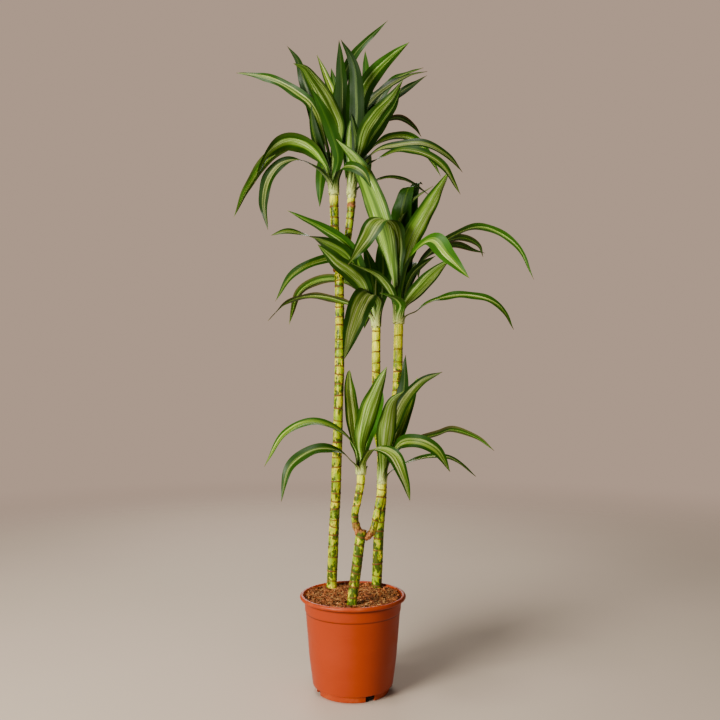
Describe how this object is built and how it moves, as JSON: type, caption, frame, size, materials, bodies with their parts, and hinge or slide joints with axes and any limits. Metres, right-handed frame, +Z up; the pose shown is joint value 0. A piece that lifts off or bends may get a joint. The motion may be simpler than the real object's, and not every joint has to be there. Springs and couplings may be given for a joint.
{
  "type": "potted corn plant",
  "caption": "Potted corn plant: woody ringed canes of stepped heights stand in a plain round nursery pot and carry heads of long arching striped leaves.",
  "frame": {"origin": "middle of the pot's flat underside, where it stands on the floor", "axes": "+Z up along the pot's axis, -Y towards the front of the plant, +X to its right seen from the front"},
  "size_m": [0.6389, 0.4536, 1.3764],
  "materials": {
    "pot": "satin terracotta-orange plastic",
    "soil": "rough bark chips and coir",
    "cane": "green-yellow bark with thin brown leaf scars, satin",
    "leaf": "satin green with pale lengthwise stripes"
  },
  "bodies": {
    "root": {"pot": "pot", "soil": "soil", "cane_tall": "cane", "cane_middle": "cane", "cane_short": "cane", "head_tall_left": "leaf", "head_tall_right": "leaf", "head_middle_left": "leaf", "head_middle_right": "leaf", "head_short_left": "leaf", "head_short_right": "leaf"}
  },
  "joints": []
}
